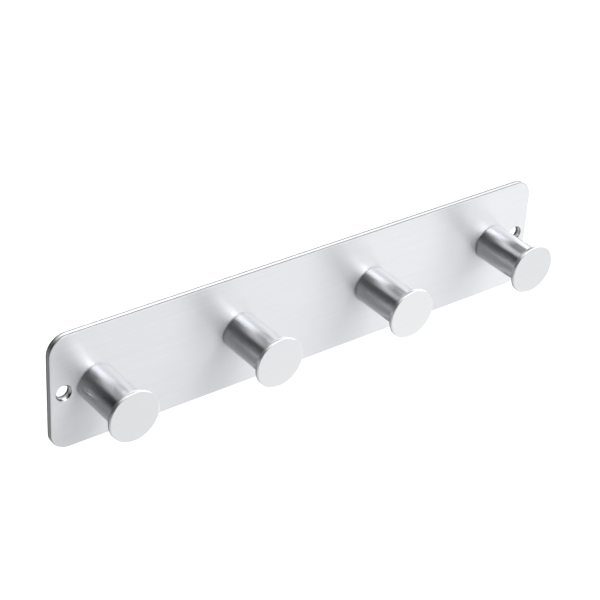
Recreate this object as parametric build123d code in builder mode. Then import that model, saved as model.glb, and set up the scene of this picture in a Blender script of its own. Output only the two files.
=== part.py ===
"""Wall hook rack: a flat brushed-steel rail with four round pegs, each ending in a thin disc head.

Frame: millimetres, +Z up, +X along the rail, the pegs point along -Y.
The origin is the centre of the rail's back face, which rests on the wall at y = 0.
"""
import os

from build123d import *

# Rail
rail_length = 235.0
rail_height = 50.0
rail_thickness = 2.5
rail_corner_radius = 8.0
rail_front_edge_radius = 0.5
rail_back_edge_chamfer = 0.25

# Wall screw holes, one at each end of the rail, countersunk from the front
countersink_angle = 90
wall_hole_spacing = 223.0
wall_hole_diameter = 5.6
wall_hole_mouth_diameter = 7.0

# Pegs: a round post with a disc head
peg_count = 4
peg_spacing = 65.0
post_diameter = 16.0
post_length = 25.0
post_base_chamfer = 0.4
post_front_chamfer = 0.2
disc_diameter = 21.5
disc_thickness = 1.5
disc_front_edge_radius = 0.5
disc_back_edge_chamfer = 0.15

# The disc's spigot is pressed into a blind hole in the post's front end
spigot_diameter = 8.0
spigot_length = 5.0
spigot_end_chamfer = 0.4
spigot_hole_clearance = 0.5

# M4 countersunk screws hold the posts from behind the rail
screw_diameter = 4.0
screw_length = 12.0
screw_end_chamfer = 0.5
screw_clearance_hole = 4.4
screw_head_recess = 0.15
screw_mouth_diameter = 7.8
tapped_hole_depth = 13.5
driver_slot_length = 4.2
driver_slot_width = 0.95
driver_slot_depth = 1.5
driver_slot_taper = 10

# A 90 degree head is as deep as it is wider than the shank, on each side
screw_head_radius = screw_mouth_diameter / 2 - screw_head_recess
screw_head_depth = screw_head_radius - screw_diameter / 2

peg_positions = [peg_spacing * (index - (peg_count - 1) / 2) for index in range(peg_count)]

# Planes parallel to the wall; each one's normal points away from the wall, along -Y
wall_plane = Plane.XZ
rail_front = Plane.XZ.offset(rail_thickness)
post_front = Plane.XZ.offset(rail_thickness + post_length)

os.makedirs("parts", exist_ok=True)


# Rail: a rounded plate, holes through it for the wall screws and the peg screws
with BuildPart() as back_plate:
    with BuildSketch(wall_plane):
        RectangleRounded(rail_length, rail_height, rail_corner_radius)
    extrude(amount=rail_thickness)
    front_edges = back_plate.faces().sort_by(Axis.Y)[0].edges()
    fillet(front_edges, rail_front_edge_radius)
    back_edges = back_plate.faces().sort_by(Axis.Y)[-1].edges()
    chamfer(back_edges, rail_back_edge_chamfer)
    with Locations(rail_front):
        with GridLocations(wall_hole_spacing, 0, 2, 1):
            CounterSinkHole(
                radius=wall_hole_diameter / 2,
                counter_sink_radius=wall_hole_mouth_diameter / 2,
                counter_sink_angle=countersink_angle,
            )
    with Locations(Plane(wall_plane.origin, x_dir=(1, 0, 0), z_dir=(0, 1, 0))):
        with GridLocations(peg_spacing, 0, peg_count, 1):
            CounterSinkHole(
                radius=screw_clearance_hole / 2,
                counter_sink_radius=screw_mouth_diameter / 2,
                counter_sink_angle=countersink_angle,
            )
back_plate.part.label = "back_plate"
export_step(back_plate.part, "parts/back_plate.step")


for number, x in enumerate(peg_positions, start=1):

    # Post: a solid round bar, tapped at the wall end and bored for the disc's spigot
    with BuildPart() as peg_post:
        with BuildSketch(rail_front):
            with Locations((x, 0)):
                Circle(post_diameter / 2)
        extrude(amount=post_length)
        chamfer(peg_post.faces().sort_by(Axis.Y)[-1].edges(), post_base_chamfer)
        chamfer(peg_post.faces().sort_by(Axis.Y)[0].edges(), post_front_chamfer)
        with BuildSketch(rail_front):
            with Locations((x, 0)):
                Circle(screw_diameter / 2)
        extrude(amount=tapped_hole_depth, mode=Mode.SUBTRACT)
        with BuildSketch(post_front):
            with Locations((x, 0)):
                Circle(spigot_diameter / 2)
        extrude(amount=-(spigot_length + spigot_hole_clearance), mode=Mode.SUBTRACT)
    peg_post.part.label = f"peg_post_{number}"
    export_step(peg_post.part, f"parts/peg_post_{number}.step")

    # Disc head: a thin round plate with a spigot on its back
    with BuildPart() as peg_disc:
        with BuildSketch(post_front):
            with Locations((x, 0)):
                Circle(disc_diameter / 2)
        extrude(amount=disc_thickness)
        fillet(peg_disc.faces().sort_by(Axis.Y)[0].edges(), disc_front_edge_radius)
        chamfer(peg_disc.faces().sort_by(Axis.Y)[-1].edges(), disc_back_edge_chamfer)
        with BuildSketch(post_front):
            with Locations((x, 0)):
                Circle(spigot_diameter / 2)
        extrude(amount=-spigot_length)
        chamfer(peg_disc.faces().sort_by(Axis.Y)[-1].edges(), spigot_end_chamfer)
    peg_disc.part.label = f"peg_disc_{number}"
    export_step(peg_disc.part, f"parts/peg_disc_{number}.step")

    # Screw: its head sits in the rail's back countersink, just under the wall face
    with BuildPart() as peg_screw:
        with BuildSketch(Plane.XY):
            with BuildLine():
                Polyline(
                    (x, -screw_head_recess),
                    (x + screw_head_radius, -screw_head_recess),
                    (x + screw_diameter / 2, -screw_head_recess - screw_head_depth),
                    (x + screw_diameter / 2, -screw_head_recess - screw_length + screw_end_chamfer),
                    (x + screw_diameter / 2 - screw_end_chamfer, -screw_head_recess - screw_length),
                    (x, -screw_head_recess - screw_length),
                    close=True,
                )
            make_face()
        revolve(axis=Axis((x, 0, 0), (0, 1, 0)))
        with BuildSketch(wall_plane.offset(screw_head_recess)):
            with Locations((x, 0)):
                Rectangle(driver_slot_length, driver_slot_width)
                Rectangle(driver_slot_width, driver_slot_length)
        extrude(amount=driver_slot_depth, taper=driver_slot_taper, mode=Mode.SUBTRACT)
    peg_screw.part.label = f"peg_screw_{number}"
    export_step(peg_screw.part, f"parts/peg_screw_{number}.step")
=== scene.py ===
"""Looks of the wall hook rack: brushed steel materials, a white studio and the camera."""
import math

import bpy
from mathutils import Matrix, Vector


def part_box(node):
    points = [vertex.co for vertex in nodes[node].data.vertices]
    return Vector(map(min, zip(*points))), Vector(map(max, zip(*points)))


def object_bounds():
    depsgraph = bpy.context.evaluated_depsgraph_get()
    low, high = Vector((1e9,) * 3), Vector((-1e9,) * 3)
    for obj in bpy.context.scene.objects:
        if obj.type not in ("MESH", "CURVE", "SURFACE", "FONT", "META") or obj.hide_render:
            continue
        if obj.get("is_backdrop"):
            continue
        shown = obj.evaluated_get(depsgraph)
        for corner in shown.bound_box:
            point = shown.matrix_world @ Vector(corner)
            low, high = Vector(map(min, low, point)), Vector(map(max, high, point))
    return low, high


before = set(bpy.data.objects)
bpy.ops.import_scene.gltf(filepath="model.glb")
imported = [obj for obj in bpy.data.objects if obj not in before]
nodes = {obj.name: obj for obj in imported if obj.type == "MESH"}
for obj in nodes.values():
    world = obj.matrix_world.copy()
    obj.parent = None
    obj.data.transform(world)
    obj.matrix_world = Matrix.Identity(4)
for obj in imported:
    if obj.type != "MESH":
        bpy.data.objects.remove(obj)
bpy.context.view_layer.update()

rail_low, rail_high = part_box("back_plate")
rail_height = rail_high.z - rail_low.z
millimetre = 0.001

# Camera: where it stands round the rack, in degrees and in rail heights. The lens and the sensor
# are in millimetres.
view_azimuth = -38.4
view_elevation = 32.0
view_roll = 3.45
view_distance = 14.7 * rail_height
view_target = Vector((-0.039, 0.0, 0.053)) * rail_height
view_lens = 110.8
sensor_width = 36.0
nearest_seen = 0.01
farthest_seen = 50.0

# Studio: soft lights far away in a grey room. Each has an azimuth and an elevation in degrees
# (0, 0 is straight in front of the rack, azimuth 90 is its right), the radius in degrees at which
# it has faded out, and a brightness. Its core, a share of that radius, is evenly bright.
room_brightness = 0.25
studio_lights = {
    "high front": (13, 40, 20, 5.0),
    "right": (70, 30, 38, 1.45),
    "low right behind": (130, -30, 25, 1.3),
    "behind": (168, 16, 34, 2.9),
    "high left behind": (-120, 65, 23, 2.6),
    "low right": (75, -48, 15, 2.2),
    "below left": (-75, -65, 48, 0.66),
    "front": (53, -28, 60, 0.70),
    "left": (-70, -10, 19, 0.9),
    "high right behind": (117, 23, 29, 1.35),
}
light_core = 0.5
# Dark parts of the room, laid out the same way, with how much of its brightness they take away
dark_sides = {
    "photographer": (-35, 24, 50, 1.0),
    "high behind": (180, 50, 80, 0.9),
}
dark_core = 0.6
backdrop_brightness = 1.05
white = (1.0, 1.0, 1.0, 1.0)

# Floor: a pale sheet far below the rack, which gives off a little light of its own
floor_drop = 10 * rail_height
floor_half_width = 60 * rail_height
floor_colour = (0.95, 0.95, 0.95, 1.0)
floor_glow = 0.3

# Steel finishes. Densities are grains to a metre along X, Y and Z: low along the brushing,
# high across it.
cloud_density = (45.0, 45.0, 45.0)
cloud_shade = 0.03
cloud_roughness = 0.05
# Each texture has its own fineness and its own place in the noise
scratch_detail = 4.0
streak_detail = 2.0
streak_seed = 7.0
cloud_detail = 3.0
cloud_seed = 13.0
cut_mark_detail = 2.0
cut_mark_seed = 21.0
scratch_depth = 0.02 * millimetre
cut_marks = (900.0, 2500.0, 900.0)
cut_mark_shade = 0.08
cut_mark_roughness = 0.08
# The rail's grain runs along X, turned a hair so that it never meets the end faces square on
grain_direction = (1.0, 0.0, 0.01)
# Painted dark lines on the plate's edge, one near its back and one near its front, that stand in
# for the dark reflections along the edge
painted_back_line_start = 1.0 * millimetre
painted_back_line_full = 0.6 * millimetre
painted_back_line_shade = 0.2
painted_front_line_depth = 0.3 * millimetre
painted_front_line_width = 0.3 * millimetre
painted_front_line_shade = 0.2
# The drilled walls of the wall holes are rougher than the plate's other cut faces. They are found
# near its middle height, short of its ends, where the surface stands square to the brushed face.
hole_zone_height = 6 * millimetre
hole_zone_end = 2 * millimetre
hole_facing = 0.3
hole_roughness = 0.45
# In a look, cut_range is how squarely a surface faces along Y where it turns from brushed to cut,
# and the tones make single pieces a little lighter or darker: painted light and shade, for how
# brightly each piece is lit.
looks = {
    "rail": {
        "tint": (0.795, 0.805, 0.825),
        "roughness": 0.48,
        "anisotropy": 0.84,
        "smear": "across the grain",
        "scratches": (50.0, 3500.0, 3500.0),
        "streaks": (12.0, 900.0, 900.0),
        "scratch_shade": 0.08,
        "streak_shade": 0.05,
        "grain_roughness": 0.5,
        "bump": 0.15,
        "cut_range": (0.99, 0.9),
        "cut_shade": 0.95,
        "cut_roughness": 0.3,
        "seed": 0.0,
    },
    "peg_post": {
        "name": "post_finish",
        "tint": (0.79, 0.80, 0.825),
        "roughness": 0.19,
        "anisotropy": 0.92,
        "smear": "along the bar",
        "scratches": (120.0, 5000.0, 120.0),
        "streaks": (40.0, 1400.0, 40.0),
        "scratch_shade": 0.08,
        "streak_shade": 0.05,
        "grain_roughness": 0.5,
        "bump": 0.05,
        "cut_range": (0.05, 0.5),
        "cut_shade": 1.0,
        "cut_roughness": 0.25,
        "seed": 1.0,
    },
    "peg_disc": {
        "name": "disc_finish",
        "tint": (0.845, 0.855, 0.87),
        # Painted light and shade: some discs are made lighter or darker for how brightly each is
        # lit
        "painted_light_tones": {"1": 0.97, "3": 1.04, "4": 0.97},
        "roughness": 0.34,
        "anisotropy": 0.0,
        "smear": None,
        "scratches": (150.0, 4500.0, 4500.0),
        "streaks": (40.0, 1200.0, 1200.0),
        "scratch_shade": 0.05,
        "streak_shade": 0.03,
        "grain_roughness": 0.5,
        "bump": 0.08,
        "cut_range": (0.99, 0.9),
        "cut_shade": 1.0,
        "cut_roughness": 0.32,
        "seed": 2.0,
    },
    "peg_screw": {
        "name": "screw_finish",
        "tint": (0.60, 0.60, 0.61),
        "roughness": 0.3,
        "anisotropy": 0.0,
        "smear": None,
        "scratches": (3000.0, 3000.0, 3000.0),
        "streaks": (800.0, 800.0, 800.0),
        "scratch_shade": 0.08,
        "streak_shade": 0.05,
        "grain_roughness": 0.5,
        "bump": 0.1,
        "cut_range": (0.99, 0.9),
        "cut_shade": 0.9,
        "cut_roughness": 0.38,
        "seed": 3.0,
    },
}


def direction(azimuth, elevation):
    """The unit vector that points from the rack to an azimuth and elevation in degrees."""
    azimuth = math.radians(azimuth)
    elevation = math.radians(elevation)
    return Vector(
        (
            math.sin(azimuth) * math.cos(elevation),
            -math.cos(azimuth) * math.cos(elevation),
            math.sin(elevation),
        )
    )


def add_camera():
    """The camera looks at the rail from its left, above and in front."""
    roll = math.radians(view_roll)
    back = direction(view_azimuth, view_elevation)
    level = Vector((0, 0, 1)).cross(back).normalized()
    upright = back.cross(level)
    right = level * math.cos(roll) + upright * math.sin(roll)
    up = upright * math.cos(roll) - level * math.sin(roll)
    data = bpy.data.cameras.new("camera")
    data.lens = view_lens
    data.sensor_width = sensor_width
    data.clip_start = nearest_seen
    data.clip_end = farthest_seen
    camera = bpy.data.objects.new("camera", data)
    rotation = Matrix((right, up, back)).transposed().to_4x4()
    camera.matrix_world = Matrix.Translation(view_target + back * view_distance) @ rotation
    bpy.context.scene.collection.objects.link(camera)
    bpy.context.scene.camera = camera


class Nodes:
    """A small helper that adds shader nodes to one tree and links them."""

    def __init__(self, tree):
        self.tree = tree
        tree.nodes.clear()

    def add(self, kind, inputs=None, **settings):
        node = self.tree.nodes.new(kind)
        for name, value in settings.items():
            setattr(node, name, value)
        for name, value in (inputs or {}).items():
            if isinstance(value, bpy.types.NodeSocket):
                self.tree.links.new(value, node.inputs[name])
            else:
                node.inputs[name].default_value = value
        return node

    def math(self, operation, first, second=0.0):
        return self.add("ShaderNodeMath", {0: first, 1: second}, operation=operation).outputs[0]

    def sum(self, *values):
        total = values[0]
        for value in values[1:]:
            total = self.math("ADD", total, value)
        return total

    def around_zero(self, texture, spread):
        """A texture from 0 to 1 becomes one that swings about zero."""
        return self.ramp(texture, 0.0, 1.0, -spread / 2, spread / 2)

    def vector(self, operation, first, second):
        name = "Scale" if operation == "SCALE" else 1
        node = self.add("ShaderNodeVectorMath", {0: first, name: second}, operation=operation)
        return node.outputs["Value" if operation == "DOT_PRODUCT" else "Vector"]

    def noise(self, place, density, detail, seed):
        """Noise with so many grains to a metre along X, Y and Z."""
        spread = {"Vector": place, "Location": (seed, seed, seed), "Scale": density}
        place = self.add("ShaderNodeMapping", spread).outputs[0]
        grains = {"Vector": place, "Scale": 1.0, "Detail": detail}
        return self.add("ShaderNodeTexNoise", grains).outputs[0]

    def ramp(self, value, low, high, to_low=0.0, to_high=1.0, smooth=False):
        """Maps low..high to to_low..to_high and stays at these ends beyond them."""
        inputs = {
            "Value": value,
            "From Min": low,
            "From Max": high,
            "To Min": to_low,
            "To Max": to_high,
        }
        kind = "SMOOTHSTEP" if smooth else "LINEAR"
        return self.add("ShaderNodeMapRange", inputs, interpolation_type=kind).outputs[0]


def painted_edge_line_shade(make, place):
    """Painted shade on the plate's cut faces: dark lines near its back and near its front, in
    place of the dark reflections along the edge.
    """
    depth = make.add("ShaderNodeSeparateXYZ", {0: place}).outputs["Y"]
    painted_back_line = make.ramp(depth, rail_high.y - painted_back_line_start, rail_high.y - painted_back_line_full, 1.0, painted_back_line_shade)
    from_line = make.math("SUBTRACT", depth, rail_low.y + painted_front_line_depth)
    from_line = make.math("ABSOLUTE", from_line)
    painted_front_line = make.ramp(from_line, 0.0, painted_front_line_width, painted_front_line_shade, 1.0)
    return make.math("MULTIPLY", painted_back_line, painted_front_line)


def on_hole_wall(make, place, facing):
    """1 on the drilled walls of the wall holes, 0 elsewhere on the plate."""
    along, _, height = make.add("ShaderNodeSeparateXYZ", {0: place}).outputs
    level = make.math("LESS_THAN", make.math("ABSOLUTE", height), hole_zone_height)
    inland = make.math("LESS_THAN", make.math("ABSOLUTE", along), rail_high.x - hole_zone_end)
    upright = make.math("LESS_THAN", facing, hole_facing)
    return make.math("MULTIPLY", make.math("MULTIPLY", level, inland), upright)


def steel(name, look, centre_x=0.0):
    """Steel with a brushed face and smoother cut edges, made to one of the looks above."""
    material = bpy.data.materials.new(name)
    material.use_nodes = True
    make = Nodes(material.node_tree)
    normal = make.add("ShaderNodeNewGeometry").outputs["Normal"]
    place = make.add("ShaderNodeTexCoord").outputs["Object"]
    place = make.vector("SUBTRACT", place, (centre_x, 0.0, 0.0))

    # The grain: fine scratches and wider streaks, both drawn out along the brushing
    seed = look["seed"]
    scratches = make.noise(place, look["scratches"], scratch_detail, seed)
    streaks = make.noise(place, look["streaks"], streak_detail, seed + streak_seed)
    clouds = make.noise(place, cloud_density, cloud_detail, seed + cloud_seed)
    grain = make.sum(
        make.around_zero(scratches, look["scratch_shade"]),
        make.around_zero(streaks, look["streak_shade"]),
    )
    shade = make.sum(1.0, grain, make.around_zero(clouds, cloud_shade))
    rough = make.sum(
        look["roughness"],
        make.math("MULTIPLY", grain, look["grain_roughness"]),
        make.around_zero(clouds, cloud_roughness),
    )
    bump = {"Strength": look["bump"], "Distance": scratch_depth, "Height": scratches}
    brushed = {
        "Base Color": make.vector("SCALE", look["tint"], shade),
        "Metallic": 1.0,
        "Roughness": rough,
        "Anisotropic": look["anisotropy"],
        "Normal": make.add("ShaderNodeBump", bump).outputs[0],
    }
    if look["smear"] == "along the bar":
        brushed["Tangent"] = make.add("ShaderNodeCombineXYZ", {"Y": 1.0}).outputs[0]
    elif look["smear"] == "across the grain":
        across = make.vector("CROSS_PRODUCT", normal, grain_direction)
        brushed["Tangent"] = make.vector("NORMALIZE", across, (0.0, 0.0, 0.0))
    brushed = make.add("ShaderNodeBsdfPrincipled", brushed).outputs[0]

    # Edges, hole walls and countersinks are cut, not brushed
    facing = make.math("ABSOLUTE", make.add("ShaderNodeSeparateXYZ", {0: normal}).outputs["Y"])
    turned = make.noise(place, cut_marks, cut_mark_detail, seed + cut_mark_seed)
    cut_shade = make.sum(look["cut_shade"], make.around_zero(turned, cut_mark_shade))
    cut_rough = make.sum(look["cut_roughness"], make.around_zero(turned, cut_mark_roughness))
    if name == "rail_finish":
        # Painted shade: dark lines along the plate's edge, standing in for the dark reflections
        # there
        cut_shade = make.math("MULTIPLY", cut_shade, painted_edge_line_shade(make, place))
        drilled = on_hole_wall(make, place, facing)
        cut_rough = make.sum(cut_rough, make.math("MULTIPLY", drilled, hole_roughness))
    cut = {
        "Base Color": make.vector("SCALE", look["tint"], cut_shade),
        "Metallic": 1.0,
        "Roughness": cut_rough,
    }
    cut = make.add("ShaderNodeBsdfPrincipled", cut).outputs[0]
    is_cut = make.ramp(facing, *look["cut_range"], smooth=True)
    surface = make.add("ShaderNodeMixShader", {0: is_cut, 1: brushed, 2: cut})
    make.add("ShaderNodeOutputMaterial", {"Surface": surface.outputs[0]})
    return material


def paint(node, material):
    """Gives a CAD node its material."""
    node.data.materials.clear()
    node.data.materials.append(material)


def add_studio():
    """Soft lights that light the rack, and a white backdrop that the camera sees behind it."""
    world = bpy.data.worlds.new("studio")
    world.use_nodes = True
    make = Nodes(world.node_tree)
    looking = make.add("ShaderNodeTexCoord").outputs["Generated"]

    def patch(azimuth, elevation, radius, core):
        toward = make.vector("DOT_PRODUCT", looking, direction(azimuth, elevation))
        edge = math.cos(math.radians(radius))
        core = math.cos(math.radians(radius * core))
        return make.ramp(toward, edge, core, smooth=True)

    total = room_brightness
    for azimuth, elevation, radius, depth in dark_sides.values():
        dark = patch(azimuth, elevation, radius, dark_core)
        total = make.math("MULTIPLY", total, make.ramp(dark, 0.0, 1.0, 1.0, 1.0 - depth))
    for azimuth, elevation, radius, brightness in studio_lights.values():
        light = patch(azimuth, elevation, radius, light_core)
        total = make.sum(total, make.math("MULTIPLY", light, brightness))
    room = make.add("ShaderNodeBackground", {"Color": white, "Strength": total})
    backdrop = make.add("ShaderNodeBackground", {"Color": white, "Strength": backdrop_brightness})
    seen = make.add("ShaderNodeLightPath").outputs["Is Camera Ray"]
    mix = make.add("ShaderNodeMixShader", {0: seen, 1: room.outputs[0], 2: backdrop.outputs[0]})
    make.add("ShaderNodeOutputWorld", {"Surface": mix.outputs[0]})
    bpy.context.scene.world = world


def add_floor():
    """A pale matt floor well below the rack, which hangs clear of it as on its wall."""
    mesh = bpy.data.meshes.new("floor")
    half = floor_half_width
    corners = [(-half, -half), (half, -half), (half, half), (-half, half)]
    z = rail_low.z - floor_drop
    mesh.from_pydata([(x, y, z) for x, y in corners], [], [(0, 1, 2, 3)])
    floor = bpy.data.objects.new("floor", mesh)
    bpy.context.scene.collection.objects.link(floor)
    material = bpy.data.materials.new("floor_paper")
    material.use_nodes = True
    make = Nodes(material.node_tree)
    paper = {
        "Base Color": floor_colour,
        "Roughness": 1.0,
        "Specular IOR Level": 0.0,
        "Emission Color": white,
        "Emission Strength": floor_glow,
    }
    matt = make.add("ShaderNodeBsdfPrincipled", paper)
    make.add("ShaderNodeOutputMaterial", {"Surface": matt.outputs[0]})
    mesh.materials.append(material)
    floor.visible_glossy = False
    floor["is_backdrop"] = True


add_camera()
add_studio()
add_floor()

for node_name, node in nodes.items():
    kind, _, number = node_name.rpartition("_")
    if node_name == "back_plate":
        paint(node, steel("rail_finish", looks["rail"]))
    else:
        low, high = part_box(node_name)
        look = dict(looks[kind])
        # Painted light and shade: this disc's finish is made lighter or darker for how brightly it
        # is lit
        painted_tone = look.get("painted_light_tones", {}).get(number, 1.0)
        look["tint"] = [channel * painted_tone for channel in look["tint"]]
        paint(node, steel(f"{look['name']}_{number}", look, centre_x=(low.x + high.x) / 2))

bpy.context.scene.view_settings.view_transform = "Standard"

low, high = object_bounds()
